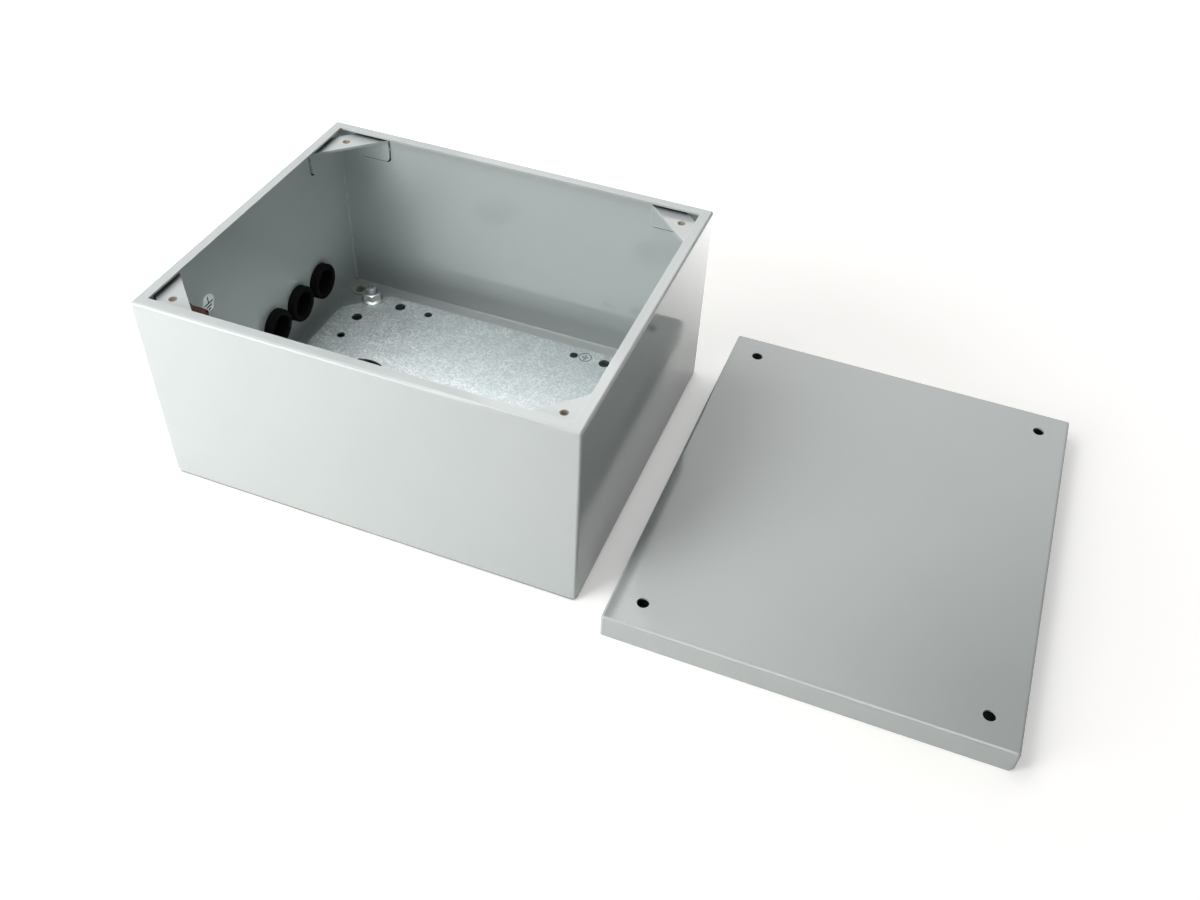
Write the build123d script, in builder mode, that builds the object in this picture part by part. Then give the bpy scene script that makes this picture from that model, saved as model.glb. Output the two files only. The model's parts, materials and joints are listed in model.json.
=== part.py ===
# Sheet-steel electrical enclosure lying on its back, with its lid taken off and laid beside it.
# Millimetres. The origin is the centre of the rear wall's outer face, +Z points out of the
# open front, +X runs along the long side, and the cable entries are in the -X wall.
from build123d import *
import os

os.makedirs("parts", exist_ok=True)

# Box: one sheet folded up into a tray, its corners welded, its rim turned inwards
box_length = 300.0
box_width = 250.0
box_height = 146.0
sheet = 1.5
bend_inner_r = 0.5
rim_width = 8.0

# Holes in the rear wall that screw the box to a wall, with the distance of their axes from the
# outside of the box, and the sealing washers that lie round them
wall_hole_from_end = 12.5
wall_hole_from_side = 15.0
wall_hole_d = 9.0
washer_d = 13.0
washer_thickness = 1.8
washer_hole_play = 0.1
washer_edge_r = 0.4

# Lid: a shallow folded tray that fits over the outside of the box
lid_sheet = 1.5
lid_play = 1.25
lid_depth = 17.0
lid_screw_hole_d = 8.0
lid_ground_corner_r = 5.0
lid_place_gap = 23.25
lid_place_y = 9.5

# Lid screws: the distance of their axes from the outside of the box, and their tapping size
screw_inset = 18.0
screw_core_d = 5.0

# Foam seal inside the lid, wider than the rim that presses into it
seal_overhang = 1.0
seal_thickness = 5.0
seal_corner_r = 4.0

# Corner brackets that carry the lid screws
bracket_sheet = 2.0
bracket_bend_r = 2.0
bracket_leg = 43.2
bracket_corner_cut = 19.5
bracket_drop = 4.5
bracket_tab_depth = 18.0
bracket_tab_corner_r = 3.0
screw_collar_d = 8.5
screw_collar_depth = 2.5

# Mounting plate: how far it reaches past its studs, its corner cuts and its holes
plate_end_margin = 18.5
plate_side_margin = 10.0
plate_sheet = 1.5
plate_corner_cut = 30.0
plate_standoff = 12.0
plate_large_hole_d = 8.6
plate_small_hole_d = 6.4
plate_hole_step = 25.0
plate_grip_hole_d = 40.0
plate_grip_hole_from_end = 55.0

# Studs welded to the sheet, with the small flange that the weld leaves at the foot, and the
# distance of the plate's studs from the outside of the box
stud_inset = 37.5
stud_d = 8.0
stud_length = 26.0
stud_foot_d = 10.0
stud_foot_height = 1.2
stud_end_chamfer = 0.8
stud_hole_play = 0.5

# Spacers round the studs, under the plate
spacer_d = 14.0
spacer_play = 0.3
spacer_foot_play = 0.4

# Flange nuts on the studs
nut_across_flats = 13.0
nut_height = 8.0
nut_flange_d = 17.0
nut_flange_edge = 1.2
nut_flange_height = 2.6
nut_thread_play = 0.05
nut_corner_drop = 0.9
nut_countersink = 0.6

# Rubber cable-entry grommets in the -X wall
grommet_count = 3
grommet_pitch = 32.2
grommet_row_from_side = 86.6
grommet_row_z = 34.5
grommet_hole_d = 22.8
grommet_neck_play = 0.15
grommet_flange_d = 28.2
grommet_inside = 6.4
grommet_outside = 3.2
grommet_mouth_d = 20.0
grommet_membrane = 1.2
grommet_lip_r = 1.5
grommet_nipple_d = 6.0
grommet_nipple_height = 1.4

# Earth stud on the -X wall, with its distance from the front side and from the rim's top
earth_stud_length = 15.0
earth_stud_from_side = 45.0
earth_stud_from_rim = 36.5

# Sizes worked out from the ones above
bend_outer_r = bend_inner_r + sheet
inside_length = box_length - 2 * sheet
inside_width = box_width - 2 * sheet
inside_height = box_height - 2 * sheet
inner_wall_x = box_length / 2 - sheet
inner_wall_y = box_width / 2 - sheet
screw_x = box_length / 2 - screw_inset
screw_y = box_width / 2 - screw_inset
wall_hole_pitch_x = box_length - 2 * wall_hole_from_end
wall_hole_pitch_y = box_width - 2 * wall_hole_from_side
stud_pitch_x = box_length - 2 * stud_inset
stud_pitch_y = box_width - 2 * stud_inset
plate_length = stud_pitch_x + 2 * plate_end_margin
plate_width = stud_pitch_y + 2 * plate_side_margin
plate_grip_hole_x = plate_length / 2 - plate_grip_hole_from_end
grommet_row_y = box_width / 2 - grommet_row_from_side
earth_stud_y = earth_stud_from_side - box_width / 2
earth_stud_z = box_height - earth_stud_from_rim
bracket_top_z = box_height - bracket_drop
plate_bottom_z = sheet + plate_standoff
plate_top_z = plate_bottom_z + plate_sheet
lid_length = box_length + 2 * (lid_play + lid_sheet)
lid_width = box_width + 2 * (lid_play + lid_sheet)
lid_bend_outer_r = bend_inner_r + lid_sheet
lid_x = box_length / 2 + lid_place_gap + lid_width / 2
stud_r = stud_d / 2

# The lid lies with its long side along Y, so its plane is turned a quarter turn
lid_plane = Plane(origin=(lid_x, lid_place_y, 0), x_dir=(0, 1, 0), z_dir=(0, 0, 1))

# Ways that the four corners face: sign along X, sign along Y, and the direction that the
# bracket's first leg runs in, so that its second leg is a quarter turn to the left of it
corners = {
    "front_left": (-1, -1, (1, 0, 0)),
    "front_right": (1, -1, (0, 1, 0)),
    "rear_right": (1, 1, (-1, 0, 0)),
    "rear_left": (-1, 1, (0, -1, 0)),
}


def save(part, name):
    """Label one finished piece and write it to its own file."""
    part.label = name
    export_step(part, f"parts/{name}.step")


def folded_block(plane, length, width, height, edge_r, open_below=False):
    """A block with the rounded edges that folding and welding leave on a sheet tray."""
    with BuildPart() as block:
        with BuildSketch(plane):
            Rectangle(length, width)
        extrude(amount=height)
        levels = block.edges().group_by(Axis.Z)
        rounded = levels[1:] if open_below else levels
        fillet([edge for level in rounded for edge in level], radius=edge_r)
    return block.part


# The box is the folded block less its inside, which leaves walls, floor and the turned-in rim
with BuildPart() as body_shell:
    add(folded_block(Plane.XY, box_length, box_width, box_height, bend_outer_r))
    add(
        folded_block(Plane.XY.offset(sheet), inside_length, inside_width, inside_height, bend_inner_r),
        mode=Mode.SUBTRACT,
    )
    # Opening inside the rim
    with BuildSketch(Plane.XY.offset(box_height)):
        Rectangle(box_length - 2 * rim_width, box_width - 2 * rim_width)
    extrude(amount=-2 * sheet, mode=Mode.SUBTRACT)
    # Wall-fixing holes in the four corners of the rear wall
    with BuildSketch(Plane.XY):
        with GridLocations(wall_hole_pitch_x, wall_hole_pitch_y, 2, 2):
            Circle(wall_hole_d / 2)
    extrude(amount=sheet, mode=Mode.SUBTRACT)
    # Cable-entry holes in a row in the -X wall, low down near the rear wall
    entry_plane = Plane(
        origin=(-inner_wall_x, grommet_row_y, grommet_row_z), x_dir=(0, 1, 0), z_dir=(1, 0, 0)
    )
    with BuildSketch(entry_plane):
        with GridLocations(grommet_pitch, 0, grommet_count, 1):
            Circle(grommet_hole_d / 2)
    extrude(amount=-2 * sheet, mode=Mode.SUBTRACT)
save(body_shell.part, "body_shell")


def corner_bracket(sign_x, sign_y, first_leg):
    """A triangle folded from sheet: two tabs welded to the walls, the corner cut back."""
    plan = Plane(
        origin=(sign_x * inner_wall_x, sign_y * inner_wall_y, bracket_top_z),
        x_dir=first_leg,
        z_dir=(0, 0, 1),
    )
    # Sketch planes that look along each leg, with the wall at the sketch's vertical axis
    along_first = Plane(origin=plan.origin, x_dir=plan.y_dir, z_dir=plan.x_dir)
    along_second = Plane(origin=plan.origin, x_dir=plan.x_dir, z_dir=-plan.y_dir)
    bend_r = bracket_bend_r + bracket_sheet
    screw_from_wall = screw_inset - sheet
    with BuildPart() as bracket:
        # Folded section along each wall, from the cut corner to the leg's end
        for leg_plane, way in ((along_first, 1), (along_second, -1)):
            with BuildSketch(leg_plane):
                with BuildLine():
                    FilletPolyline((0, -bracket_tab_depth), (0, 0), (bracket_leg, 0), radius=bend_r)
                    Line((bracket_leg, 0), (bracket_leg, -bracket_sheet))
                    FilletPolyline(
                        (bracket_leg, -bracket_sheet),
                        (bracket_sheet, -bracket_sheet),
                        (bracket_sheet, -bracket_tab_depth),
                        radius=bracket_bend_r,
                    )
                    Line((bracket_sheet, -bracket_tab_depth), (0, -bracket_tab_depth))
                make_face()
            extrude(amount=way * bracket_leg)
        # Only the plan outline of the blank is left of the two sections
        with BuildSketch(plan):
            with BuildLine():
                Polyline(
                    (bracket_corner_cut, 0),
                    (bracket_leg, 0),
                    (bracket_leg, bracket_sheet),
                    (bracket_sheet, bracket_leg),
                    (0, bracket_leg),
                    (0, bracket_corner_cut),
                    close=True,
                )
            make_face()
        extrude(amount=-bracket_tab_depth, mode=Mode.INTERSECT)
        # The tabs' lower corners at the legs' ends, the furthest from the corner, are rounded
        tab_ends = bracket.edges().group_by(Axis.Z)[0].sort_by_distance(plan.origin)[-2:]
        fillet(tab_ends, radius=bracket_tab_corner_r)
        # Collar pressed down round the tapped hole, and the hole through it
        with BuildSketch(plan.offset(-bracket_sheet)):
            with Locations((screw_from_wall, screw_from_wall)):
                Circle(screw_collar_d / 2)
        extrude(amount=-screw_collar_depth)
        with BuildSketch(plan):
            with Locations((screw_from_wall, screw_from_wall)):
                Circle(screw_core_d / 2)
        extrude(amount=-bracket_tab_depth, mode=Mode.SUBTRACT)
    return bracket.part


for corner_name, (sign_x, sign_y, first_leg) in corners.items():
    save(corner_bracket(sign_x, sign_y, first_leg), f"corner_bracket_{corner_name}")


def sealing_washer(x, y):
    """A flat ring that lies on the floor of the box round one wall-fixing hole."""
    with BuildPart() as washer:
        with BuildSketch(Plane(origin=(x, y, sheet))):
            Circle(washer_d / 2)
            Circle(wall_hole_d / 2 + washer_hole_play, mode=Mode.SUBTRACT)
        extrude(amount=washer_thickness)
        rims = washer.edges().group_by(Axis.Z)[-1]
        fillet(rims, radius=washer_edge_r)
    return washer.part


for corner_name, (sign_x, sign_y, _) in corners.items():
    washer = sealing_washer(sign_x * wall_hole_pitch_x / 2, sign_y * wall_hole_pitch_y / 2)
    save(washer, f"wall_washer_{corner_name}")

# Mounting plate: cut corners, a notch round each stud, and holes stepped off from the studs
with BuildPart() as mounting_plate:
    with BuildSketch(Plane.XY.offset(plate_bottom_z)) as outline:
        Rectangle(plate_length, plate_width)
        chamfer(outline.vertices(), length=plate_corner_cut)
        with GridLocations(stud_pitch_x, stud_pitch_y, 2, 2):
            Circle(stud_r + stud_hole_play, mode=Mode.SUBTRACT)
        with GridLocations(stud_pitch_x - 2 * plate_hole_step, stud_pitch_y, 2, 2):
            Circle(plate_large_hole_d / 2, mode=Mode.SUBTRACT)
        with GridLocations(stud_pitch_x, stud_pitch_y - 2 * plate_hole_step, 2, 2):
            Circle(plate_large_hole_d / 2, mode=Mode.SUBTRACT)
        with GridLocations(stud_pitch_x - 4 * plate_hole_step, stud_pitch_y, 2, 2):
            Circle(plate_small_hole_d / 2, mode=Mode.SUBTRACT)
        with GridLocations(stud_pitch_x, stud_pitch_y - 4 * plate_hole_step, 2, 2):
            Circle(plate_small_hole_d / 2, mode=Mode.SUBTRACT)
        with GridLocations(2 * plate_grip_hole_x, 0, 2, 1):
            Circle(plate_grip_hole_d / 2, mode=Mode.SUBTRACT)
    extrude(amount=plate_sheet)
save(mounting_plate.part, "mounting_plate")


def weld_stud(foot, length):
    """A stud with the small flange at its foot and a chamfered end, standing on a plane."""
    with BuildPart() as stud:
        with BuildSketch(foot):
            Circle(stud_foot_d / 2)
        extrude(amount=stud_foot_height)
        with BuildSketch(foot):
            Circle(stud_r)
        extrude(amount=length)
        tip = stud.faces().sort_by(Axis(foot.origin, foot.z_dir))[-1]
        chamfer(tip.edges(), length=stud_end_chamfer)
    return stud.part


def spacer(foot):
    """A turned sleeve round a stud, bored out at its lower end to clear the stud's foot."""
    with BuildPart() as sleeve:
        with BuildSketch(foot):
            Circle(spacer_d / 2)
        extrude(amount=plate_standoff)
        with BuildSketch(foot):
            Circle(stud_r + spacer_play)
        extrude(amount=plate_standoff, mode=Mode.SUBTRACT)
        with BuildSketch(foot):
            Circle(stud_foot_d / 2 + spacer_foot_play)
        extrude(amount=stud_foot_height + spacer_foot_play, mode=Mode.SUBTRACT)
    return sleeve.part


def flange_nut(seat):
    """A hexagon nut with a sloping round flange, its upper corners turned off."""
    section = Plane(origin=seat.origin, x_dir=(1, 0, 0), z_dir=(0, -1, 0))
    axis = Axis(seat.origin, (0, 0, 1))
    across_corners = nut_across_flats / (3**0.5 / 2)
    with BuildPart() as nut:
        with BuildSketch(seat):
            RegularPolygon(radius=nut_across_flats / 2, side_count=6, major_radius=False)
        extrude(amount=nut_height)
        # The turned outline takes the sharp corners off the top
        with BuildSketch(section):
            with BuildLine():
                Polyline(
                    (0, 0),
                    (nut_flange_d / 2, 0),
                    (nut_flange_d / 2, nut_height / 2),
                    (across_corners / 2, nut_height - nut_corner_drop),
                    (nut_across_flats / 2 - nut_corner_drop / 2, nut_height),
                    (0, nut_height),
                    close=True,
                )
            make_face()
        revolve(axis=axis, mode=Mode.INTERSECT)
        with BuildSketch(section):
            with BuildLine():
                Polyline(
                    (0, 0),
                    (nut_flange_d / 2, 0),
                    (nut_flange_d / 2, nut_flange_edge),
                    (nut_across_flats / 2, nut_flange_height),
                    (0, nut_flange_height),
                    close=True,
                )
            make_face()
        revolve(axis=axis)
        with BuildSketch(seat):
            Circle(stud_r + nut_thread_play)
        extrude(amount=nut_height, mode=Mode.SUBTRACT)
        # Lead-in cone at the top of the thread
        bore_mouth = nut.faces().sort_by(Axis.Z)[-1].inner_wires()[0].edges()
        chamfer(bore_mouth, length=nut_countersink)
    return nut.part


# One stud, spacer and nut at each corner of the plate
for corner_name, (sign_x, sign_y, _) in corners.items():
    stud_place = (sign_x * stud_pitch_x / 2, sign_y * stud_pitch_y / 2)
    foot_plane = Plane(origin=(*stud_place, sheet))
    seat_plane = Plane(origin=(*stud_place, plate_top_z))
    save(weld_stud(foot_plane, stud_length), f"plate_stud_{corner_name}")
    save(spacer(foot_plane), f"plate_spacer_{corner_name}")
    save(flange_nut(seat_plane), f"plate_nut_{corner_name}")


def cable_grommet(y):
    """A turned rubber cup that grips the wall's edge and is closed outside by a membrane."""
    centre = Vector(-inner_wall_x, y, grommet_row_z)
    section = Plane(origin=centre, x_dir=(1, 0, 0), z_dir=(0, -1, 0))
    neck_r = grommet_hole_d / 2 - grommet_neck_play
    flange_r = grommet_flange_d / 2
    mouth_r = grommet_mouth_d / 2
    outer_face = -sheet - grommet_outside
    floor = outer_face + grommet_membrane
    with BuildPart() as grommet:
        with BuildSketch(section):
            with BuildLine():
                # Inside lip, rounded on both of its corners
                Line((0, neck_r), (0, flange_r))
                FilletPolyline(
                    (0, flange_r),
                    (grommet_inside, flange_r),
                    (grommet_inside, mouth_r),
                    (floor, mouth_r),
                    radius=grommet_lip_r,
                )
                # Membrane and the small pointed nipple in its middle
                Line((floor, mouth_r), (floor, 0))
                Line((floor, 0), (outer_face - grommet_nipple_height, 0))
                Line((outer_face - grommet_nipple_height, 0), (outer_face, grommet_nipple_d / 2))
                # Outside lip, and the groove that holds the wall
                FilletPolyline(
                    (outer_face, grommet_nipple_d / 2),
                    (outer_face, flange_r),
                    (-sheet, flange_r),
                    radius=grommet_lip_r,
                )
                Line((-sheet, flange_r), (-sheet, neck_r))
                Line((-sheet, neck_r), (0, neck_r))
            make_face()
        revolve(axis=Axis(centre, (1, 0, 0)))
    return grommet.part


for number in range(grommet_count):
    entry_y = grommet_row_y + grommet_pitch * ((grommet_count - 1) / 2 - number)
    save(cable_grommet(entry_y), f"cable_grommet_{number + 1}")

# Earth stud, welded to the inside of the -X wall and pointing inwards
earth_foot = Plane(origin=(-inner_wall_x, earth_stud_y, earth_stud_z), x_dir=(0, 1, 0), z_dir=(1, 0, 0))
save(weld_stud(earth_foot, earth_stud_length), "earth_stud")

# Lid: a folded tray open at the bottom, with a hole above each tapped hole of the box
with BuildPart() as lid_panel:
    add(folded_block(lid_plane, lid_length, lid_width, lid_depth, lid_bend_outer_r, open_below=True))
    add(
        folded_block(
            lid_plane,
            lid_length - 2 * lid_sheet,
            lid_width - 2 * lid_sheet,
            lid_depth - lid_sheet,
            bend_inner_r,
            open_below=True,
        ),
        mode=Mode.SUBTRACT,
    )
    with BuildSketch(lid_plane.offset(lid_depth)):
        with GridLocations(2 * screw_x, 2 * screw_y, 2, 2):
            Circle(lid_screw_hole_d / 2)
    extrude(amount=-2 * lid_sheet, mode=Mode.SUBTRACT)
    # Both sides are ground round at the foot of the one corner where they meet nearest the front
    ground_corner = (lid_x + lid_width / 2, lid_place_y - lid_length / 2, 0)
    front_side = Plane(origin=ground_corner, x_dir=(-1, 0, 0), z_dir=(0, 1, 0))
    right_side = Plane(origin=ground_corner, x_dir=(0, 1, 0), z_dir=(1, 0, 0))
    for side in (front_side, right_side):
        with BuildSketch(side):
            Rectangle(lid_ground_corner_r, lid_ground_corner_r, align=(Align.MIN, Align.MIN))
            with Locations((lid_ground_corner_r, lid_ground_corner_r)):
                Circle(lid_ground_corner_r, mode=Mode.SUBTRACT)
        extrude(amount=lid_bend_outer_r, both=True, mode=Mode.SUBTRACT)
save(lid_panel.part, "lid_panel")

# Foam seal, stuck to the inside of the lid where the rim of the box presses
with BuildPart() as lid_seal:
    with BuildSketch(lid_plane.offset(lid_depth - lid_sheet)):
        RectangleRounded(box_length + 2 * seal_overhang, box_width + 2 * seal_overhang, seal_corner_r)
        Rectangle(
            box_length - 2 * (rim_width + seal_overhang),
            box_width - 2 * (rim_width + seal_overhang),
            mode=Mode.SUBTRACT,
        )
    extrude(amount=-seal_thickness)
    # Its upper outer edge is rounded off to clear the bend of the lid
    top_outline = lid_seal.faces().sort_by(Axis.Z)[-1].outer_wire().edges()
    fillet(top_outline, radius=bend_inner_r + 2 * (lid_play - seal_overhang))
save(lid_seal.part, "lid_seal")
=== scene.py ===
# %% [markdown]
# # A sheet-steel electrical enclosure, open, with its lid beside it
# The box is one sheet of steel folded into a tray, welded at its corners and powder coated light
# grey. Inside it are a galvanised mounting plate, zinc-plated nuts, rubber cable entries and an
# earth stud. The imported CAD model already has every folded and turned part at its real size, so
# this lesson adds what the eye still misses: threads, weld beads, the earth label, the mark
# stamped into the plate, and above all the finishes.

# %% Load the frame
import json
import math

import bpy
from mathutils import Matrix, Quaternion, Vector


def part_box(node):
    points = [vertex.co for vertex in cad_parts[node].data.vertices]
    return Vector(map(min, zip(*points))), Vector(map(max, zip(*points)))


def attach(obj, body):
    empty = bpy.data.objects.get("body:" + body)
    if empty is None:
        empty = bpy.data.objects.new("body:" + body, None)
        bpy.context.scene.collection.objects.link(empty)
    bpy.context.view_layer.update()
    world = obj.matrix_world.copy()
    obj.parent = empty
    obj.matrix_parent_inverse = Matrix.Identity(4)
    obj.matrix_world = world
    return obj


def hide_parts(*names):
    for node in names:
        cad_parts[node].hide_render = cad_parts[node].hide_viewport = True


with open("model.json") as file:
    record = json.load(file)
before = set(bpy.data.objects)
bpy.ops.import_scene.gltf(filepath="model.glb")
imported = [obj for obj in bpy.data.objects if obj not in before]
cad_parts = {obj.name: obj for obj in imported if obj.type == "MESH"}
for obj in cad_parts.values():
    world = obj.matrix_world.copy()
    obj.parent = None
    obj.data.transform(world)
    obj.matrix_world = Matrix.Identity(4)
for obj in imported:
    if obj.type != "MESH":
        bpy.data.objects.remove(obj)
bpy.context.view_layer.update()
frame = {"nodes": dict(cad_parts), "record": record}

nodes = frame["nodes"]
MM = 0.001
corner_names = ("front_left", "front_right", "rear_right", "rear_left")
print("CAD nodes:", len(nodes))

# %% [markdown]
# ## Small helpers
# Sizes are written in millimetres and turned to metres on use, apart from those of the large
# stage, whose names end in _m. A colour is written as the sRGB hex value that a colour picker
# shows, and Blender's shaders want linear light, so one function does the conversion. A finished
# piece has its place in its mesh, as the CAD nodes do: its transform is applied, it rides on its
# body, and it takes its material.


# %% Helpers
def linear(hex_colour):
    """An sRGB hex colour such as '#c8cdca' as linear RGBA."""
    channels = [int(hex_colour[i:i + 2], 16) / 255 for i in (1, 3, 5)]
    return (*[c / 12.92 if c <= 0.04045 else ((c + 0.055) / 1.055) ** 2.4 for c in channels], 1.0)


def place(x, y, z):
    """A point given in millimetres, in metres."""
    return Vector((x, y, z)) * MM


def box_mm(node_name):
    """Lowest and highest corner of a CAD node, in millimetres."""
    low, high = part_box(node_name)
    return low / MM, high / MM


def select_only(obj):
    """Nothing is selected but obj, which becomes the active object."""
    bpy.ops.object.select_all(action="DESELECT")
    obj.select_set(True)
    bpy.context.view_layer.objects.active = obj


def start(name):
    """The object that an operator has just added, named and alone in the selection."""
    obj = bpy.context.object
    obj.name = name
    obj.data.name = name
    select_only(obj)
    return obj


def pick(obj, test, kind="verts"):
    """In edit mode, select only the vertices, edges or faces whose centre passes a test."""
    bpy.ops.object.mode_set(mode="OBJECT")
    mesh = obj.data
    for item in (*mesh.vertices, *mesh.edges, *mesh.polygons):
        item.select = False
    if kind == "verts":
        for vertex in mesh.vertices:
            vertex.select = test(vertex.co / MM)
    if kind == "edges":
        for edge in mesh.edges:
            a, b = (mesh.vertices[i].co / MM for i in edge.vertices)
            edge.select = test(a, b)
    if kind == "faces":
        for face in mesh.polygons:
            face.select = test(face.center / MM, face.normal)
    bpy.ops.object.mode_set(mode="EDIT")
    modes = {"verts": "VERT", "edges": "EDGE", "faces": "FACE"}
    bpy.ops.mesh.select_mode(type=modes[kind])


def apply_modifiers(obj):
    """Make the result of every modifier the piece's own mesh."""
    select_only(obj)
    for modifier in list(obj.modifiers):
        bpy.ops.object.modifier_apply(modifier=modifier.name)


def combine(obj, other, operation):
    """Join another mesh to the piece, or cut it away, and remove the other."""
    modifier = obj.modifiers.new("combine", "BOOLEAN")
    modifier.operation = operation
    modifier.object = other
    modifier.solver = "EXACT"
    apply_modifiers(obj)
    bpy.data.objects.remove(other)


def copy_of(obj, name):
    """A copy of a finished shape, with a mesh of its own."""
    made = obj.copy()
    made.data = obj.data.copy()
    made.name = name
    made.data.name = name
    bpy.context.scene.collection.objects.link(made)
    return made


def settle(obj, body, material, smooth_degrees=35):
    """Finish a piece: transform applied, soft edges shaded, material and body given."""
    select_only(obj)
    bpy.ops.object.transform_apply(location=True, rotation=True, scale=True)
    bpy.ops.object.shade_smooth_by_angle(angle=math.radians(smooth_degrees))
    obj.data.materials.clear()
    obj.data.materials.append(material)
    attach(obj, body)


print("helpers ready")

# %% [markdown]
# ## The camera
# The photograph looks down into the box from the front, a little from the right. The camera was
# placed by matching the corners of the box and of the lid, so a place, three angles and a focal
# length are all that it needs. Blender's sensor is 36 mm wide, and the picture is 1200 pixels.

# %% Camera
camera_place = (316.5, -576.6, 596.6)
camera_left_turn = math.radians(18.99)
camera_down_tilt = math.radians(43.79)
camera_roll = math.radians(3.08)
focal_length_in_pixels = 1187.1
picture_width_in_pixels = 1200
sensor_width = 36.0

bpy.ops.object.camera_add(location=place(*camera_place))
camera = bpy.context.object
camera.name = "camera"
camera.data.sensor_width = sensor_width
camera.data.lens = focal_length_in_pixels / picture_width_in_pixels * sensor_width
level = math.cos(camera_down_tilt)
forward = Vector((-math.sin(camera_left_turn) * level, math.cos(camera_left_turn) * level,
                  -math.sin(camera_down_tilt)))
camera.rotation_mode = "QUATERNION"
camera.rotation_quaternion = forward.to_track_quat("-Z", "Y") @ Quaternion((0, 0, 1), camera_roll)
bpy.context.scene.camera = camera
bpy.context.scene.view_settings.view_transform = "Standard"
print("lens", round(camera.data.lens, 2), "mm")

# %% [markdown]
# ## Material helpers
# A material here is a small graph of nodes that ends in one Principled shader. One function adds
# a node, sets its values and makes its links. The steps that come back all the time get a short
# function each, which returns the node's result. All patterns read Object coordinates, which are
# metres on the object itself, so a pattern's scale is one over its real size.


# %% Material helpers
MIX_FACTOR, MIX_A, MIX_B, MIX_RESULT = 0, 6, 7, 2
noise_spread = (0.3, 0.7)


def plug(tree, made, inputs):
    """Give a node its inputs. Each is either a plain value or another node's output."""
    for socket, value in inputs.items():
        if isinstance(value, bpy.types.NodeSocket):
            tree.links.new(value, made.inputs[socket])
        else:
            made.inputs[socket].default_value = value


def node(tree, kind, inputs=None, **settings):
    """Add one shader node, with its settings and its inputs."""
    made = tree.nodes.new("ShaderNode" + kind)
    for setting, value in settings.items():
        setattr(made, setting, value)
    plug(tree, made, inputs or {})
    return made


def new_material(name):
    """An empty material: its tree, its Principled shader and its Object coordinates."""
    material = bpy.data.materials.new(name)
    material.use_nodes = True
    tree = material.node_tree
    tree.nodes.clear()
    shader = node(tree, "BsdfPrincipled")
    node(tree, "OutputMaterial", {"Surface": shader.outputs["BSDF"]})
    coordinates = node(tree, "TexCoord").outputs["Object"]
    return material, tree, shader, coordinates


def per_metre(size_mm):
    """The texture scale that gives a pattern this size."""
    return 1 / (size_mm * MM)


def mixed(tree, factor, *colours):
    """The first colour where the factor is 0 and the second where it is 1."""
    first, second = (linear(colour) if isinstance(colour, str) else colour for colour in colours)
    inputs = {MIX_FACTOR: factor, MIX_A: first, MIX_B: second}
    return node(tree, "Mix", inputs, data_type="RGBA").outputs[MIX_RESULT]


def ramp(tree, value, start_at, end_at, low=0.0, high=1.0):
    """Low up to where the value reaches start_at, high from end_at on, and a slope between."""
    inputs = {"Value": value, "From Min": start_at, "From Max": end_at, "To Min": low, "To Max": high}
    return node(tree, "MapRange", inputs).outputs["Result"]


def calculate(tree, operation, *values, clamp=False):
    """One step of arithmetic with numbers."""
    made = node(tree, "Math", dict(enumerate(values)), operation=operation, use_clamp=clamp)
    return made.outputs["Value"]


def with_vectors(tree, operation, inputs, result="Vector"):
    """One step of arithmetic with vectors or colours."""
    return node(tree, "VectorMath", inputs, operation=operation).outputs[result]


def noise(tree, coordinates, size_mm, detail=2.0, result="Fac"):
    """Soft patches of this size."""
    inputs = {"Vector": coordinates, "Scale": per_metre(size_mm), "Detail": detail}
    return node(tree, "TexNoise", inputs).outputs[result]


def relief(tree, pattern, height_mm, normal=None):
    """The surface's normal where a pattern raises it by this height."""
    inputs = {"Height": pattern, "Distance": height_mm * MM, "Strength": 1.0}
    if normal is not None:
        inputs["Normal"] = normal
    return node(tree, "Bump", inputs).outputs["Normal"]


print("material helpers ready")

# %% [markdown]
# ## Powder-coated steel
# Powder coat is a polyester dust, sprayed on dry and baked until it flows. It is an even light
# grey with a soft gloss. It flows into a skin with a faint ripple, called orange peel, about a
# millimetre across. The sheet under it is not quite flat, which bends the reflections over a
# hand's width. The powder draws back from sharp edges, so the coat looks a little lighter there.
# A few grains of dust are baked into any coat. Little light gets into narrow gaps and under the
# plate, and there the coat's colour is painted darker, a painted shade.

# %% Powder-coated steel
coat_colour = "#c4cac9"
coat_cloud_colour = "#bfc6c5"
coat_edge_colour = "#d2d7d5"
coat_dust_colour = "#8d8a7c"
coat_roughness = (0.065, 0.1)
coat_ior = 1.52
coat_cloud_mm = 55
orange_peel_mm = 1.1
orange_peel_height_mm = 0.006
sheet_wave_mm = 95
sheet_wave_height_mm = 0.15
dust_spacing_mm = 26
dust_grain_mm = 0.32
dust_share = 0.35
edge_width_mm = 1.0
edge_likeness = (1.0, 0.9)
smudge_mm = 30
# Painted shade: the colour that darkens the coat in narrow gaps and under the plate
gap_shade_colour = "#2f3332"
gap_reach_mm = 15
gap_open_share = (0.12, 0.3)
plate_corner_cut_mm = 30
shade_past_end_mm = 6
shade_past_side_mm = 12
shade_past_cut_mm = 10
shade_fade_mm = 5

powder_coat, tree, shader, coordinates = new_material("powder_coated_steel")
clouds = noise(tree, coordinates, coat_cloud_mm, detail=3.0)
clouded = mixed(tree, clouds, coat_colour, coat_cloud_colour)

# Where the surface normal turns within an edge's width, the point lies on an edge
edge_normal = node(tree, "Bevel", {"Radius": edge_width_mm * MM}, samples=4).outputs["Normal"]
true_normal = node(tree, "NewGeometry").outputs["Normal"]
likeness = with_vectors(tree, "DOT_PRODUCT", {0: edge_normal, 1: true_normal}, "Value")
edged = mixed(tree, ramp(tree, likeness, *edge_likeness), clouded, coat_edge_colour)

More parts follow.
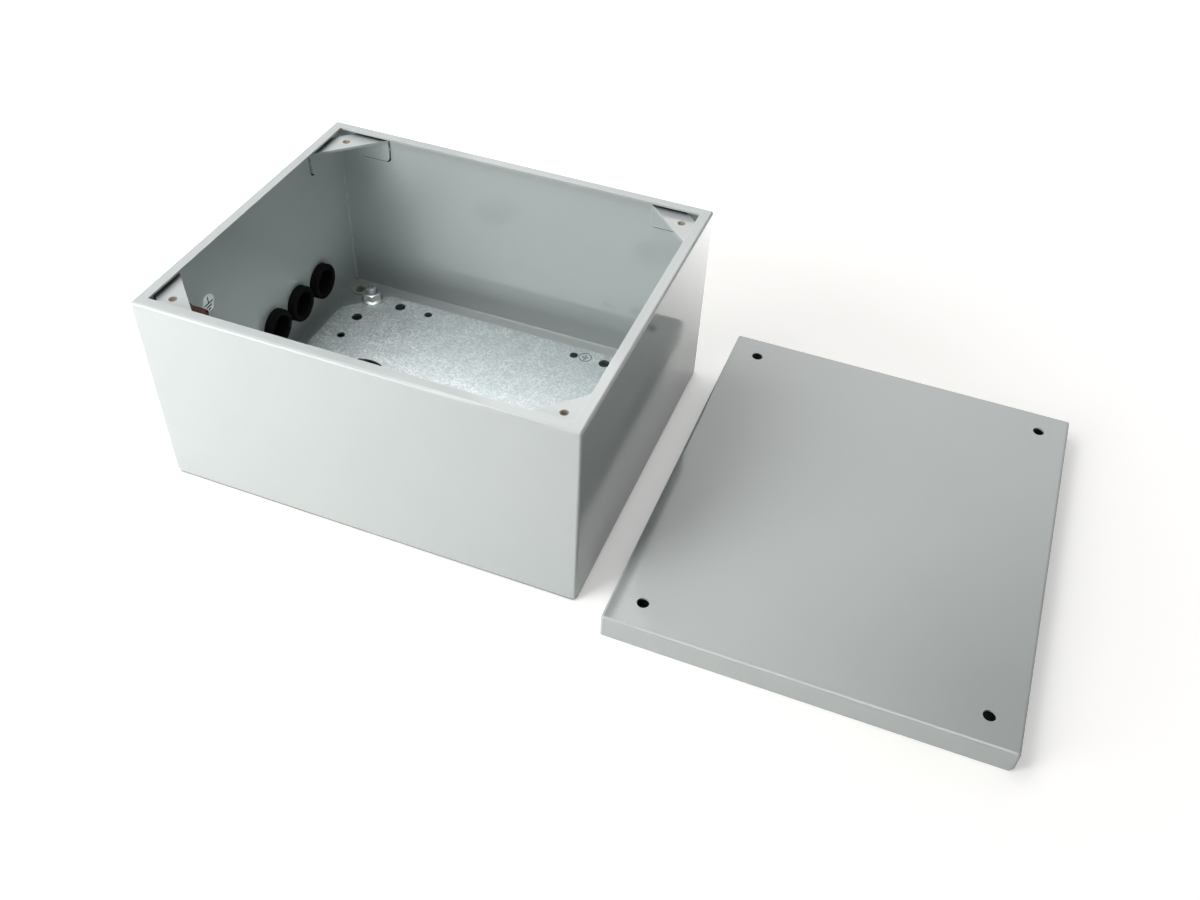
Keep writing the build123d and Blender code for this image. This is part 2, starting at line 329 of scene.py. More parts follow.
# Dust: one grain near the middle of some of the cells of a coarse cell pattern
cells = node(tree, "TexVoronoi", {"Vector": coordinates, "Scale": per_metre(dust_spacing_mm)})
grain = ramp(tree, cells.outputs["Distance"], dust_grain_mm / dust_spacing_mm, 0.0)
lot = node(tree, "SeparateColor", {"Color": cells.outputs["Color"]}).outputs["Red"]
chosen = calculate(tree, "LESS_THAN", lot, dust_share)
dusty = mixed(tree, calculate(tree, "MULTIPLY", grain, chosen), edged, coat_dust_colour)

# Painted shade: the coat is darkened in narrow gaps, such as those beside the brackets
sky = node(tree, "AmbientOcclusion", {"Distance": gap_reach_mm * MM}, samples=16).outputs["AO"]
openness = ramp(tree, sky, *gap_open_share)

# A painted shadow darkens the box's floor behind the plate, so the plate's holes look dark. The
# shadow follows the plate's outline with its cut corners, a little past it, because a slanting view
# through a hole near the edge lands there. It fades out just below the plate.
plate_low, plate_high = box_mm("mounting_plate")
where = node(tree, "SeparateXYZ", {0: coordinates})
off_x = calculate(tree, "ABSOLUTE", where.outputs["X"])
off_y = calculate(tree, "ABSOLUTE", where.outputs["Y"])
off_corner = calculate(tree, "ADD", off_x, off_y)
cut_edge = plate_high.x + plate_high.y - plate_corner_cut_mm
limits = ((off_x, plate_high.x + shade_past_end_mm), (off_y, plate_high.y + shade_past_side_mm),
          (off_corner, cut_edge + shade_past_cut_mm), (where.outputs["Z"], plate_low.z))
plate_shade = 1.0
for distance, limit_mm in limits:
    fade_from_mm = limit_mm - shade_fade_mm
    inside = ramp(tree, distance, fade_from_mm * MM, limit_mm * MM, low=1.0, high=0.0)
    plate_shade = calculate(tree, "MULTIPLY", plate_shade, inside)
lit = calculate(tree, "SUBTRACT", openness, plate_shade, clamp=True)
gapped = mixed(tree, lit, gap_shade_colour, dusty)

# Hands and cloths leave the gloss a little uneven
smudges = noise(tree, coordinates, smudge_mm)
gloss = ramp(tree, smudges, *noise_spread, *coat_roughness)

# The sheet's wave carries the orange peel
wave = noise(tree, coordinates, sheet_wave_mm, detail=1.0)
wavy = relief(tree, wave, sheet_wave_height_mm)
peel = noise(tree, coordinates, orange_peel_mm, detail=1.0)
peeled = relief(tree, peel, orange_peel_height_mm, wavy)
plug(tree, shader, {"Base Color": gapped, "Roughness": gloss, "IOR": coat_ior, "Normal": peeled})
print("coat", coat_colour, "with orange peel of", orange_peel_mm, "mm")

# %% [markdown]
# ## Galvanised sheet
# The mounting plate is cut from sheet that was dipped in molten zinc. The zinc freezes into flat
# crystals, the spangle. On thin sheet they are kept small, one or two millimetres, and each one
# faces its own way, so each catches the light a little differently. A cell pattern gives every
# crystal its own tilt, tone and polish. A noise pushes the pattern about, which makes the
# crystals' borders ragged.

# %% Galvanised sheet
spangle_mm = 1.1
spangle_patch_mm = 14
spangle_ragged_share = 0.6
spangle_tilt = 0.09
spangle_tone_spread = (0.05, 0.5)
spangle_roughness = (0.36, 0.5)
zinc_dark = "#b9c0c2"
zinc_light = "#d5dbdb"

galvanised, tree, shader, coordinates = new_material("hot_dip_galvanised_sheet")
push = with_vectors(tree, "SCALE", {0: noise(tree, coordinates, spangle_mm, result="Color"),
                                    "Scale": spangle_mm * MM * spangle_ragged_share})
pushed = with_vectors(tree, "ADD", {0: coordinates, 1: push})
spangle = node(tree, "TexVoronoi", {"Vector": pushed, "Scale": per_metre(spangle_mm)})
crystal = node(tree, "SeparateColor", {"Color": spangle.outputs["Color"]})
patches = noise(tree, coordinates, spangle_patch_mm, detail=3.0)
tone = calculate(tree, "MULTIPLY", crystal.outputs["Red"], patches)
zinc = mixed(tree, ramp(tree, tone, *spangle_tone_spread), zinc_dark, zinc_light)
polish = ramp(tree, crystal.outputs["Green"], 0.0, 1.0, *spangle_roughness)
own_way = with_vectors(tree, "SUBTRACT", {0: spangle.outputs["Color"], 1: (0.5, 0.5, 0.5)})
tilt = with_vectors(tree, "SCALE", {0: own_way, "Scale": spangle_tilt})
flat_normal = node(tree, "NewGeometry").outputs["Normal"]
tilted = with_vectors(tree, "ADD", {0: flat_normal, 1: tilt})
facet = with_vectors(tree, "NORMALIZE", {0: tilted})
plug(tree, shader, {"Base Color": zinc, "Roughness": polish, "Metallic": 1.0, "Normal": facet})
print("spangle of", spangle_mm, "mm")

# %% [markdown]
# ## Plated metals
# Nuts, studs and spacers are zinc plated in a barrel: a thin grey coat over steel, with the fine
# tumbling marks of the barrel. The earth stud has a copper plating instead, gone a little brown.
# The tapped holes were plugged while the box was coated, so their threads are bare steel with a
# film of oil, which looks warm. A mark stamped into the plate is drawn dark grey, a painted shade
# for its groove. One function makes all five, because only their colour, roughness and grain differ.


# %% Plated metals
def plated_metal(name, colours, roughness, grain_mm, grain_height_mm):
    """A metal whose colour and polish vary in soft patches, with fine marks in its surface."""
    patch_mm = 2.5
    material, tree, shader, coordinates = new_material(name)
    patch = noise(tree, coordinates, patch_mm, detail=3.0)
    marks = noise(tree, coordinates, grain_mm)
    plug(tree, shader, {"Base Color": mixed(tree, patch, *colours), "Metallic": 1.0,
                        "Roughness": ramp(tree, patch, *noise_spread, *roughness),
                        "Normal": relief(tree, marks, grain_height_mm)})
    return material


zinc_plate = plated_metal("barrel_zinc_plate", ("#a3a8a5", "#8b918e"), (0.36, 0.5), 0.5, 0.01)
stud_plate = plated_metal("dull_zinc_plate", ("#8f9698", "#767d80"), (0.58, 0.72), 0.5, 0.01)
copper_plate = plated_metal("copper_plate", ("#60443b", "#422d27"), (0.34, 0.5), 0.5, 0.008)
oiled_steel = plated_metal("oiled_bare_steel", ("#b3a28b", "#837666"), (0.5, 0.65), 0.4, 0.008)
# The stamped mark's dark grey is a painted shade for its groove
stamp_groove_shade = plated_metal("painted_stamp_groove_shade", ("#565c5e", "#43494b"), (0.45, 0.6),
                             0.4, 0.008)
print("five metals")

# %% [markdown]
# ## Rubber, foam and plastic
# The cable entries are moulded black rubber: nearly black, with a dull bloom and the fine matt
# texture of the mould. The lid's seal is closed-cell foam, whose cut face is full of tiny pores.
# The washers round the wall-fixing holes are natural polyethylene, a waxy, slightly cloudy
# plastic with a pale green-grey cast, so light goes a little way into it. The same function makes
# the thin dark sheet on the wall round a welded tab's free edges, a painted shadow line.


# %% Rubber, foam and plastic
def moulded(name, colours, roughness, shine, grain_mm, grain_height_mm, depth=None):
    """A moulded material: two close tones in soft patches and a matt grain in the surface.

    Depth holds the shader's inputs for light that goes into the material, where any does.
    """
    patch_mm = 6
    material, tree, shader, coordinates = new_material(name)
    patch = noise(tree, coordinates, patch_mm, detail=3.0)
    grain = node(tree, "TexVoronoi", {"Vector": coordinates, "Scale": per_metre(grain_mm)})
    plug(tree, shader, {"Base Color": mixed(tree, patch, *colours), "Roughness": roughness,
                        "Specular IOR Level": shine,
                        "Normal": relief(tree, grain.outputs["Distance"], grain_height_mm)})
    plug(tree, shader, depth or {})
    return material


cloudy = {"Subsurface Weight": 0.2, "Subsurface Radius": (1.0, 1.0, 0.8),
          "Subsurface Scale": 1.2 * MM}
black_rubber = moulded("moulded_black_rubber", ("#050505", "#080808"), 0.8, 0.08, 0.45, 0.03)
cell_foam = moulded("closed_cell_foam", ("#2a2b2b", "#1d1e1e"), 0.9, 0.4, 0.7, 0.25)
# A painted shadow: the dark sheet on the wall round the welded tabs' free edges
tab_shadow_paint = moulded("painted_tab_shadow", ("#2b2e2d", "#353837"), 0.85, 0.2, 0.5, 0.01)
polyethylene = moulded("natural_polyethylene", ("#cdd0bd", "#bcbfab"), 0.42, 0.5, 0.8, 0.01, cloudy)
print("rubber, foam, polyethylene and thin coat")

# %% [markdown]
# ## Giving the CAD nodes their finish
# The folded, turned and pressed parts are right as they come from CAD. Each keeps its mesh and
# only gets its material, chosen by the slot that the part's record gives it.

# %% Giving the CAD nodes their finish
finish_of_slot = {
    "painted_steel": powder_coat,
    "galvanised_sheet": galvanised,
    "zinc_plated_steel": zinc_plate,
    "black_rubber": black_rubber,
    "foam_seal": cell_foam,
    "natural_polyethylene": polyethylene,
    "copper_plated_steel": copper_plate,
}
for subpart in frame["record"]["subparts"]:
    mesh = nodes[subpart["node"]].data
    mesh.materials.clear()
    mesh.materials.append(finish_of_slot[subpart["material_slot"]])

# %% [markdown]
# ## A thread, made once
# A screw thread is a small trapezoid swept round an axis while it climbs one pitch a turn. By
# hand that is a square, squeezed to a trapezoid, with its inner side taken out, and a Screw
# modifier. The swept ribbon is closed by cutting it flat at both ends with bisect and fill. The
# stud's end is chamfered by keeping only what lies inside a cylinder with a bevelled end.


# %% Thread
steps_per_turn = 32
crest_share = 0.125
spare_turns = 3
sweep_merge = 0.01
end_merge = 0.002
touch = 0.01


def thread(name, crest_r, depth, pitch, length):
    """A closed threaded rod from z = 0 up to its length, standing on the axis."""
    bpy.ops.mesh.primitive_plane_add(size=1)
    rod = start(name)
    rod.scale = (depth * MM, pitch * MM, 1)
    bpy.ops.object.transform_apply(scale=True)
    bpy.ops.object.mode_set(mode="EDIT")
    bpy.ops.mesh.select_all(action="SELECT")
    bpy.ops.transform.rotate(value=math.pi / 2, orient_axis="X", center_override=(0, 0, 0))
    bpy.ops.mesh.delete(type="ONLY_FACE")
    pick(rod, lambda a, b: a.x < 0 and b.x < 0, "edges")
    bpy.ops.mesh.delete(type="EDGE")
    pick(rod, lambda point: point.x > 0)
    bpy.ops.transform.resize(value=(1, 1, crest_share))
    bpy.ops.mesh.select_all(action="SELECT")
    bpy.ops.transform.translate(value=((crest_r - depth / 2) * MM, 0, -pitch * MM))
    bpy.ops.object.mode_set(mode="OBJECT")
    sweep = rod.modifiers.new("sweep", "SCREW")
    sweep.screw_offset = pitch * MM
    sweep.iterations = math.ceil(length / pitch) + spare_turns
    sweep.steps = steps_per_turn
    sweep.render_steps = steps_per_turn
    sweep.use_merge_vertices = True
    sweep.merge_threshold = sweep_merge * MM
    apply_modifiers(rod)
    bpy.ops.object.mode_set(mode="EDIT")
    for height, direction in ((0, -1), (length, 1)):
        bpy.ops.mesh.select_all(action="SELECT")
        bpy.ops.mesh.bisect(plane_co=(0, 0, height * MM), plane_no=(0, 0, direction),
                            use_fill=True, clear_outer=True)
    bpy.ops.mesh.select_all(action="SELECT")
    bpy.ops.mesh.remove_doubles(threshold=end_merge * MM)
    bpy.ops.mesh.normals_make_consistent(inside=False)
    bpy.ops.object.mode_set(mode="OBJECT")
    return rod


def round_bar(name, radius, length, end_bevel, sides=64):
    """A cylinder that stands on z = 0, its upper end bevelled."""
    bpy.ops.mesh.primitive_cylinder_add(vertices=sides, radius=radius * MM, depth=length * MM,
                                        location=place(0, 0, length / 2))
    bar = start(name)
    bpy.ops.object.transform_apply(location=True)
    pick(bar, lambda a, b: min(a.z, b.z) > length - touch, "edges")
    bpy.ops.mesh.bevel(offset=end_bevel * MM, segments=1)
    bpy.ops.object.mode_set(mode="OBJECT")
    return bar


def threaded_stud(name, length):
    """A stud on z = 0: the flange that the weld leaves at its foot, and its thread."""
    stud_r = 4.0
    thread_depth = 0.72
    coarse_pitch = 1.25
    end_chamfer = 0.8
    foot_r = 5.0
    foot_height = 1.2
    foot_edge = 0.3
    stud = thread(name, stud_r, thread_depth, coarse_pitch, length)
    combine(stud, round_bar("envelope", stud_r, length, end_chamfer), "INTERSECT")
    combine(stud, round_bar("foot", foot_r, foot_height, foot_edge), "UNION")
    return stud


low, high = box_mm("plate_stud_front_left")
plate_stud = threaded_stud("threaded_stud", high.z - low.z)
print("thread faces:", len(plate_stud.data.polygons))

# %% [markdown]
# ## Threaded studs
# The plain CAD studs carry the plate in the simulation. In the picture each is replaced by its
# threaded copy, set on the same foot. The earth stud is the same thing lying down: turned a
# quarter turn, so that it points out of the left wall.

# %% Threaded studs
for corner in corner_names:
    node_name = f"plate_stud_{corner}"
    low, high = box_mm(node_name)
    stud = copy_of(plate_stud, f"threaded_stud_{corner}")
    stud.location = place((low.x + high.x) / 2, (low.y + high.y) / 2, low.z)
    settle(stud, "enclosure", stud_plate)
    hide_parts(node_name)
bpy.data.objects.remove(plate_stud)

low, high = box_mm("earth_stud")
earth_stud = threaded_stud("threaded_earth_stud", high.x - low.x)
earth_stud.rotation_euler = (0, math.pi / 2, 0)
earth_stud.location = place(low.x, (low.y + high.y) / 2, (low.z + high.z) / 2)
settle(earth_stud, "enclosure", copper_plate)
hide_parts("earth_stud")
print("five studs threaded")

# %% [markdown]
# ## Tapped holes
# The four corner brackets are tapped M6 for the lid screws. The CAD hole is the thread's core, so
# a sleeve with a real thread inside it lines each hole. It is a short bar with the threaded rod
# cut out of it. A thin grey ring round its mouth is where the tap's chamfer cut the coat away.

# %% Tapped holes
tap_core_r = 2.5
tap_depth = 0.3
tap_pitch = 1.0
tap_length = 2.8
tap_sink = 0.15
tap_edge = 0.1
sleeve_play = 0.01
tap_play = 0.05
tap_run_out = 2
mouth_r = 2.66
mouth_edge_r = 0.2
mouth_flatness = 0.2
mouth_sides = 48
lid_screw_place = (132, 107)


def sides_of(corner):
    """Where a corner lies: -1 or 1 along X, then -1 or 1 along Y."""
    side_x = 1 if "right" in corner else -1
    side_y = 1 if "rear" in corner else -1
    return side_x, side_y


def ring(name, radius, wire_r, sides=64):
    """A thin ring that lies flat round the origin."""
    bpy.ops.mesh.primitive_torus_add(major_radius=radius * MM, minor_radius=wire_r * MM,
                                     major_segments=sides, minor_segments=8)
    return start(name)


low, high = box_mm("corner_bracket_front_left")
bracket_top = high.z
tap_bottom = bracket_top - tap_sink - tap_length
tapped = round_bar("tapped_sleeve", tap_core_r - sleeve_play, tap_length, tap_edge)
inside = thread("inside_thread", tap_core_r - tap_play, tap_depth, tap_pitch,
                tap_length + 2 * tap_run_out)
inside.location = place(0, 0, -tap_run_out)
combine(tapped, inside, "DIFFERENCE")
for corner in corner_names:
    side_x, side_y = sides_of(corner)
    hole = (side_x * lid_screw_place[0], side_y * lid_screw_place[1])
    sleeve = copy_of(tapped, f"tapped_hole_{corner}")
    sleeve.location = place(*hole, tap_bottom)
    settle(sleeve, "enclosure", oiled_steel)
    mouth = ring(f"tapped_mouth_{corner}", mouth_r, mouth_edge_r, mouth_sides)
    mouth.scale = (1, 1, mouth_flatness)
    mouth.location = place(*hole, bracket_top)
    settle(mouth, "enclosure", stud_plate)
bpy.data.objects.remove(tapped)
print("tapped holes lined")

# %% [markdown]
# ## Weld beads
# The tray's four upright seams are welded, and the weld shows through on the inside as a thin,
# uneven bead. A bead is a row of frozen ripples: one flattened ball, repeated up the corner with
# an Array modifier, then roughened with a Displace modifier. The brackets' tabs are held by one
# short tack of weld at each free end, with the same uneven surface. One tack is longer. Elsewhere
# round a tab's free edges a thin dark sheet on the wall draws a painted shadow line.

# %% Weld beads
weld_texture = bpy.data.textures.new("weld_unevenness", "CLOUDS")
weld_texture.noise_scale = 3.2 * MM
sheet = 1.5
bead_r = 1.0
bead_sink = 0.25
bead_uneven = 0.9
ripple_step = 0.8
ripple_share = 0.8
tack_r = 0.9
tack_sink = 0.7
tack_uneven = 0.5
tack_half_length = 1.6
tack_height = 133.8
long_tack = "rear_right_end"
long_tack_half_length = 3.4
long_tack_height = 135.8
tab_from_corner = 19.5
tab_corner_r = 3.0
gap_width = 0.5
gap_foot_width = 1.7
gap_thickness = 0.24


def ball(name, radius_x, radius_y, radius_z, at):
    """A squashed ball at a place."""
    bpy.ops.mesh.primitive_uv_sphere_add(segments=12, ring_count=8, radius=1, location=place(*at))
    obj = start(name)
    obj.scale = (radius_x * MM, radius_y * MM, radius_z * MM)
    bpy.ops.object.transform_apply(location=False, rotation=False, scale=True)
    return obj


def settle_weld(weld, unevenness):
    """Push the weld's surface in and out a little, then finish it as a coated piece."""
    displace = weld.modifiers.new("uneven", "DISPLACE")
    displace.texture = weld_texture
    displace.texture_coords = "GLOBAL"
    displace.strength = unevenness * MM
    displace.mid_level = 0.5
    apply_modifiers(weld)
    settle(weld, "enclosure", powder_coat, smooth_degrees=60)


low, high = box_mm("body_shell")
bead_bottom = sheet
bead_top = high.z - sheet
ripples = int((bead_top - bead_bottom) / ripple_step)
for corner in corner_names:
    side_x, side_y = sides_of(corner)
    seam_x = side_x * (high.x - sheet - bead_sink)
    seam_y = side_y * (high.y - sheet - bead_sink)
    bead = ball(f"corner_weld_{corner}", bead_r, bead_r, ripple_step * ripple_share,
                (seam_x, seam_y, bead_bottom + ripple_step))
    row = bead.modifiers.new("row", "ARRAY")
    row.use_relative_offset = False
    row.use_constant_offset = True
    row.constant_offset_displace = (0, 0, ripple_step * MM)
    row.count = ripples - 1
    apply_modifiers(bead)
    settle_weld(bead, bead_uneven)


def tab_shadow_line(name, wall, wall_place, near_end, far_end, tab_bottom):
    """A painted shadow line round a tab: a thin dark plate on the wall, a little larger than the tab.

    It reaches furthest at the foot, because the tab's thickness hides a part of it from above.
    """
    reach = far_end - near_end
    size_along = abs(reach) + gap_width
    middle = (near_end + far_end + math.copysign(gap_width, reach)) / 2
    along_x = wall == "end"
    at = (middle, wall_place) if along_x else (wall_place, middle)
    size = (size_along, gap_thickness) if along_x else (gap_thickness, size_along)
    bottom = tab_bottom - gap_foot_width
    top = bracket_top - gap_width
    bpy.ops.mesh.primitive_cube_add(size=1, location=place(*at, (bottom + top) / 2))
    plate = start(name)
    plate.scale = (size[0] * MM, size[1] * MM, (top - bottom) * MM)
    bpy.ops.object.transform_apply(location=True, scale=True)
    free_end = middle + math.copysign(size_along / 2, reach)

    def at_free_foot(a, b):
        """Is this the edge that crosses the foot at the tab's free end?"""
        along = (a.x, b.x) if along_x else (a.y, b.y)
        return max(a.z, b.z) < bottom + touch and all(abs(p - free_end) < touch for p in along)

    pick(plate, at_free_foot, "edges")
    bpy.ops.mesh.bevel(offset=(tab_corner_r + gap_width) * MM, segments=6)
    bpy.ops.object.mode_set(mode="OBJECT")
    settle(plate, "enclosure", tab_shadow_paint)


for corner in corner_names:
    side_x, side_y = sides_of(corner)
    low, high = box_mm(f"corner_bracket_{corner}")
    tab_end_x = low.x if side_x > 0 else high.x
    tab_end_y = low.y if side_y > 0 else high.y
    wall_x = high.x if side_x > 0 else low.x
    wall_y = high.y if side_y > 0 else low.y
    for wall, x, y in (("side", wall_x - side_x * tack_sink, tab_end_y),
                       ("end", tab_end_x, wall_y - side_y * tack_sink)):
        is_long = f"{corner}_{wall}" == long_tack
        half_length = long_tack_half_length if is_long else tack_half_length
        height = long_tack_height if is_long else tack_height
        tack = ball(f"tack_weld_{corner}_{wall}", tack_r, tack_r, half_length, (x, y, height))
        settle_weld(tack, tack_uneven)
    tab_shadow_line(f"tab_shadow_line_{corner}_side", "side", wall_x, wall_y - side_y * tab_from_corner,
            tab_end_y, low.z)
    tab_shadow_line(f"tab_shadow_line_{corner}_end", "end", wall_y, wall_x - side_x * tab_from_corner,
            tab_end_x, low.z)
print("ripples in a bead:", ripples, "and tabs down to", round(low.z, 2), "mm")

# %% [markdown]
# ## Earth sign
# The standard sign for protective earth is a stem on three shrinking bars. It is on a small round
# sticker beside the earth stud, and stamped into the mounting plate inside a ring. One function
# draws it flat round the origin, and each use turns it and moves it to its place.

# %% Earth sign
ink_colour = "#070b09"
ink_roughness = 0.6
ink_shine = 0.1
ink_grain_mm = 0.2
ink_grain_height_mm = 0.004
film_colours = ("#f4f8f8", "#e9efef")
film_cloud_mm = 4.0
film_metallic = 0.7
film_roughness = 0.22

sign_ink, tree, shader, coordinates = new_material("screen_printed_ink")
ink_relief = relief(tree, noise(tree, coordinates, ink_grain_mm), ink_grain_height_mm)
plug(tree, shader, {"Base Color": linear(ink_colour), "Roughness": ink_roughness,
                    "Specular IOR Level": ink_shine, "Normal": ink_relief})

sticker_film, tree, shader, coordinates = new_material("polyester_sticker_film")
film_cloud = noise(tree, coordinates, film_cloud_mm)
plug(tree, shader, {"Base Color": mixed(tree, film_cloud, *film_colours),
                    "Metallic": film_metallic, "Roughness": film_roughness})

bar_shares = (1.0, 0.6, 0.24)
bar_step_share = 0.25
stem_share = 0.53
stem_middle_share = 0.29


def earth_sign(name, size, line, thickness):
    """The earth sign, flat in the XY plane, its widest bar as long as size."""
    step = size * bar_step_share
    strokes = [(-step * i, size * share, line) for i, share in enumerate(bar_shares)]
    strokes.append((size * stem_middle_share, line, size * stem_share))
    made = []
    for y, width, height in strokes:
        bpy.ops.mesh.primitive_cube_add(size=1, location=place(0, y, 0))
        stroke = start(name)
        stroke.scale = (width * MM, height * MM, thickness * MM)
        bpy.ops.object.transform_apply(location=True, scale=True)
        made.append(stroke)
    for stroke in made:
        stroke.select_set(True)
    bpy.ops.object.join()
    return bpy.context.object


sticker_r = 6.0
sticker_edge_r = 6.9
sticker_thickness = 0.12
sticker_bevel = 0.05
sticker_place = Vector((-148.5, -58.3, 100.3))
sticker_sign_size = 9.3
sticker_line = 1.1
ink_thickness = 0.04
sign_offset = Vector((sticker_thickness, 0, -0.4))
upright_on_left_wall = (math.pi / 2, 0, math.pi / 2)

sticker = round_bar("earth_sticker", sticker_r, sticker_thickness, sticker_bevel)
sticker.rotation_euler = upright_on_left_wall
sticker.location = place(*sticker_place)
settle(sticker, "enclosure", sticker_film)
sign = earth_sign("earth_sticker_sign", sticker_sign_size, sticker_line, ink_thickness)
sign.rotation_euler = upright_on_left_wall
sign.location = place(*(sticker_place + sign_offset))
settle(sign, "enclosure", sign_ink)
# The clear film's raised edge: a real edge, drawn pale as a painted highlight
edge = ring("earth_sticker_edge", sticker_edge_r, sticker_thickness)
edge.rotation_euler = upright_on_left_wall
edge.location = place(*sticker_place)
settle(edge, "enclosure", sticker_film)

stamp_place = (71.5, 88.7, plate_high.z)
stamp_r = 4.8
stamp_sign_size = 5.6
stamp_line = 0.26
stamped_ring = ring("stamped_ring", stamp_r, stamp_line)
stamped_ring.location = place(*stamp_place)
settle(stamped_ring, "enclosure", stamp_groove_shade)
stamp = earth_sign("stamped_earth_sign", stamp_sign_size, stamp_line * 2, stamp_line)
stamp.location = place(*stamp_place)
settle(stamp, "enclosure", stamp_groove_shade)
print("earth signs placed")

# %% [markdown]
# ## The table
# The photograph was taken on a white table, lit so strongly that the paper is burnt out. The
# floor is plain white paper for the light that bounces about. To the camera, and in reflections,
# it also glows a little, more so further out, so that it burns out as in the photograph while the
# soft shadow beside the box and the lid stays. Where something stands over the paper, the paper's
# colour is painted dark, a painted shadow, and it doesn't glow, so holes look dark and the objects
# sit on the table. The stage is large, so its sizes are in metres where their names say so.

# %% Table
floor_size_m = 6.0
floor_drop_m = 0.0002
floor_colour = "#f4f2ee"
# Painted shadow: the paper's colour under the objects
painted_contact_shadow_colour = "#1c1c1b"
shaded_colour = "#6f706c"
paper_roughness = 0.9
paper_shine = 0.1
shade_inset = 10
stage_centre = place(137, 0, 0)
glow_from_m = (0.28, 0.8)
glow_strength = (0.42, 0.9)
mirrored_from_m = (0.15, 0.35)
mirrored_strength = 1.8
contact_shadow_mm = 40
contact_open_share = (0.15, 0.5)
plain_white = (1.0, 1.0, 1.0, 1.0)

bpy.ops.mesh.primitive_plane_add(size=floor_size_m, location=(0, 0, -floor_drop_m))
floor = start("floor")
paper, tree, shader, coordinates = new_material("white_table_paper")
rays = node(tree, "LightPath")
seen = calculate(tree, "MAXIMUM", rays.outputs["Is Camera Ray"], rays.outputs["Is Glossy Ray"])
from_centre = with_vectors(tree, "DISTANCE", {0: coordinates, 1: stage_centre}, "Value")
glow = ramp(tree, from_centre, *glow_from_m, *glow_strength)
sky = node(tree, "AmbientOcclusion", {"Distance": contact_shadow_mm * MM}, samples=16).outputs["AO"]
uncovered = ramp(tree, sky, *contact_open_share)
open_glow = calculate(tree, "MULTIPLY", glow, uncovered)
seen_glow = calculate(tree, "MULTIPLY", open_glow, seen)
depth = node(tree, "SeparateXYZ", {0: coordinates}).outputs["Y"]
far_glow = ramp(tree, depth, *mirrored_from_m, 0.0, mirrored_strength)
mirrored_glow = calculate(tree, "MULTIPLY", far_glow, rays.outputs["Is Glossy Ray"])
plug(tree, shader, {"Base Color": mixed(tree, uncovered, painted_contact_shadow_colour, floor_colour),
                    "Roughness": paper_roughness, "Specular IOR Level": paper_shine,
                    "Emission Color": plain_white,
                    "Emission Strength": calculate(tree, "ADD", seen_glow, mirrored_glow)})
floor.data.materials.append(paper)

# A painted shadow: a grey sheet of paper under the box stands for the table in the box's own
# shadow, which shows through the wall-fixing holes
shaded_paper, tree, shader, coordinates = new_material("table_paper_in_shadow")
plug(tree, shader, {"Base Color": linear(shaded_colour), "Roughness": paper_roughness})
low, high = box_mm("body_shell")
bpy.ops.mesh.primitive_plane_add(size=1, location=(0, 0, -floor_drop_m / 2))
shaded = start("shaded_table")
shaded.scale = ((high.x - low.x - shade_inset) * MM, (high.y - low.y - shade_inset) * MM, 1)
shaded.data.materials.append(shaded_paper)
print("table ready")

# %% [markdown]
# ## The wall behind
# Far behind the table stands a white wall, which is there for what the lid and the zinc mirror.
# It is brightest at its left, fades towards its right and more so higher up, and its foot is dim.
# Only mirrored light sees that glow: to the camera the wall is plain white. The world round it
# all is white to the camera, a little brighter in reflections, and gives no light of its own.

# %% Wall and world
wall_place_m = 2.9
wall_width_m = 3.2
wall_height_m = 4.2
wall_gloss = 3.5
wall_foot_m = (1.6, 2.2)
wall_foot_gloss = 0.9
wall_fade_across_m = (-0.5, 1.0)
wall_fade_upwards_m = (2.3, 3.7)
wall_fade_amount = (1.1, 3.2)
world_seen = 1.0
world_gloss = 1.4
world_light = 0.0

white_wall, tree, shader, coordinates = new_material("white_wall")
rays = node(tree, "LightPath")
where = node(tree, "SeparateXYZ", {0: coordinates})
foot = ramp(tree, where.outputs["Z"], *wall_foot_m, wall_foot_gloss, wall_gloss)
across = ramp(tree, where.outputs["X"], *wall_fade_across_m)
upwards = ramp(tree, where.outputs["Z"], *wall_fade_upwards_m, *wall_fade_amount)
faded = calculate(tree, "SUBTRACT", wall_gloss, calculate(tree, "MULTIPLY", across, upwards))
fading = calculate(tree, "MINIMUM", faded, foot)
mirrored = calculate(tree, "MULTIPLY", fading, rays.outputs["Is Glossy Ray"])
strength = calculate(tree, "MAXIMUM", mirrored, rays.outputs["Is Camera Ray"])
plug(tree, shader, {"Base Color": linear(floor_colour), "Roughness": paper_roughness,
                    "Emission Color": plain_white, "Emission Strength": strength})
bpy.ops.mesh.primitive_plane_add(size=1, rotation=(math.pi / 2, 0, 0),
                                 location=(stage_centre.x, wall_place_m, wall_height_m / 2))
wall = start("wall")
wall.scale = (wall_width_m, wall_height_m, 1)
bpy.ops.object.transform_apply(location=True, rotation=True, scale=True)
wall.data.materials.append(white_wall)

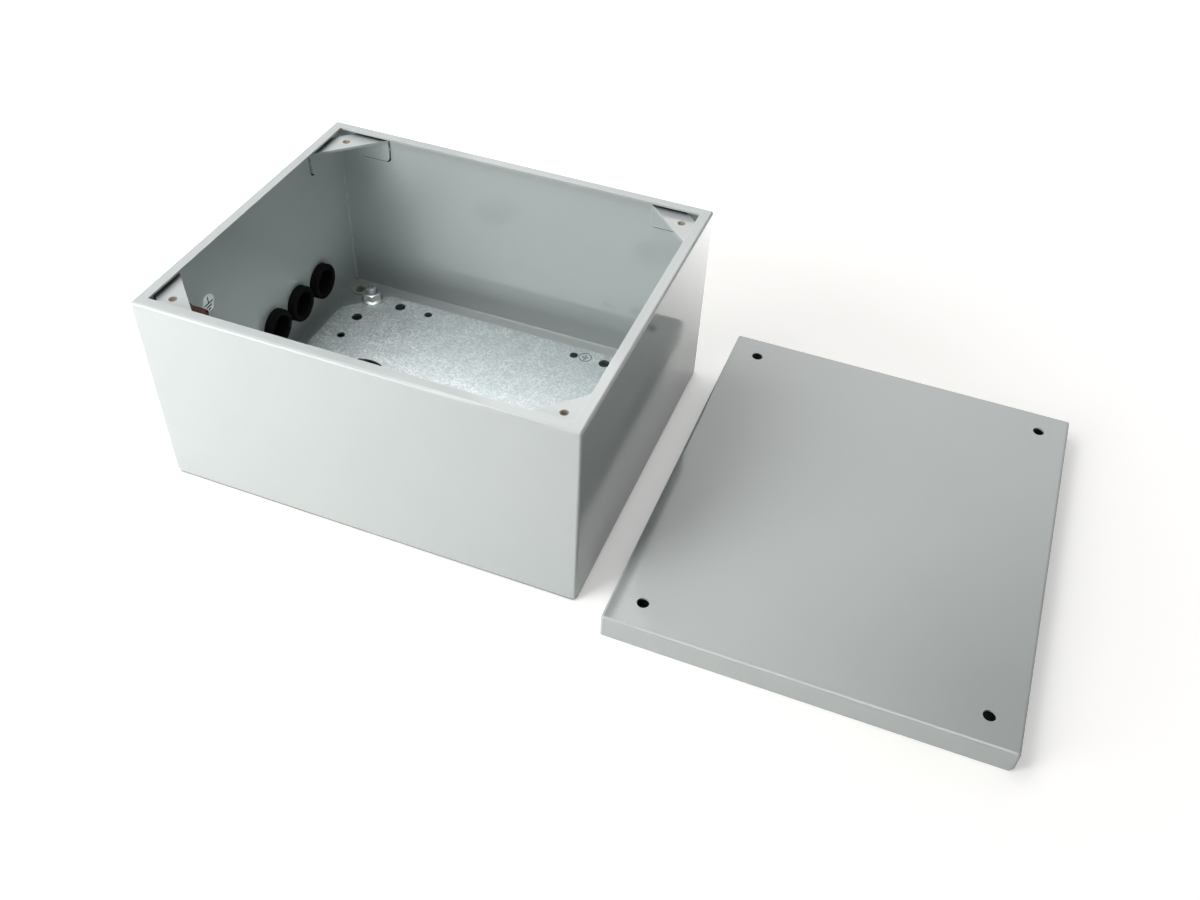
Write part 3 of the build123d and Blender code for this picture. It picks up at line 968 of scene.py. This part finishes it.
world = bpy.data.worlds.new("studio")
bpy.context.scene.world = world
world.use_nodes = True
tree = world.node_tree
tree.nodes.clear()
rays = node(tree, "LightPath")
backdrop, shine, daylight = (
    node(tree, "Background", {"Color": plain_white, "Strength": level}).outputs["Background"]
    for level in (world_seen, world_gloss, world_light))
around = daylight
for kind_of_ray, glow in (("Is Glossy Ray", shine), ("Is Camera Ray", backdrop)):
    inputs = {0: rays.outputs[kind_of_ray], 1: around, 2: glow}
    around = node(tree, "MixShader", inputs).outputs["Shader"]
node(tree, "OutputWorld", {"Surface": around})
print("wall and world ready")

# %% [markdown]
# ## The lamps
# Five soft boxes light the box. Two stand in front and to the left, one high and one low, and make
# the front wall the brightest side. Two hang over the left wall, and one large one behind lifts
# the lid. The high one in front and the one behind aren't mirrored, because the wall and a sixth
# box take that part: the one overhead is only there to be mirrored, and draws the thin bright
# line along the bends of the front rim and the lid. The powers were fitted: each lamp was rendered
# alone, and the mix that gives the photograph's tones on the walls, the plate and the lid was
# solved from those pictures.


# %% Lamps
def softbox(name, place_mm, aim_mm, size_mm, power, lights=True, mirrored=True):
    """A rectangular area lamp that faces a point."""
    bpy.ops.object.light_add(type="AREA", location=place(*place_mm))
    lamp = bpy.context.object
    lamp.name = name
    lamp.data.shape = "RECTANGLE"
    lamp.data.size = size_mm[0] * MM
    lamp.data.size_y = size_mm[1] * MM
    lamp.data.energy = power
    lamp.rotation_mode = "QUATERNION"
    lamp.rotation_quaternion = (place(*aim_mm) - lamp.location).to_track_quat("-Z", "Y")
    lamp.visible_diffuse = lights
    lamp.visible_glossy = mirrored


softbox("high_front_left", (-900, -1000, 1700), (60, 50, 70), (1200, 1200), 14.8, mirrored=False)
softbox("low_front_left", (-450, -800, 350), (0, -100, 70), (500, 500), 6.3)
softbox("over_left_wall", (-250, 350, 1000), (0, 0, 70), (700, 700), 2.8)
softbox("close_over_left", (-350, 50, 800), (0, 0, 70), (500, 500), 1.4)
softbox("behind", (200, 1700, 1200), (130, 0, 0), (1400, 1000), 7.2, mirrored=False)
softbox("overhead_shine", (25, -600, 1600), (25, -450, 0), (1350, 1000), 26, lights=False)
print("six lamps ready")
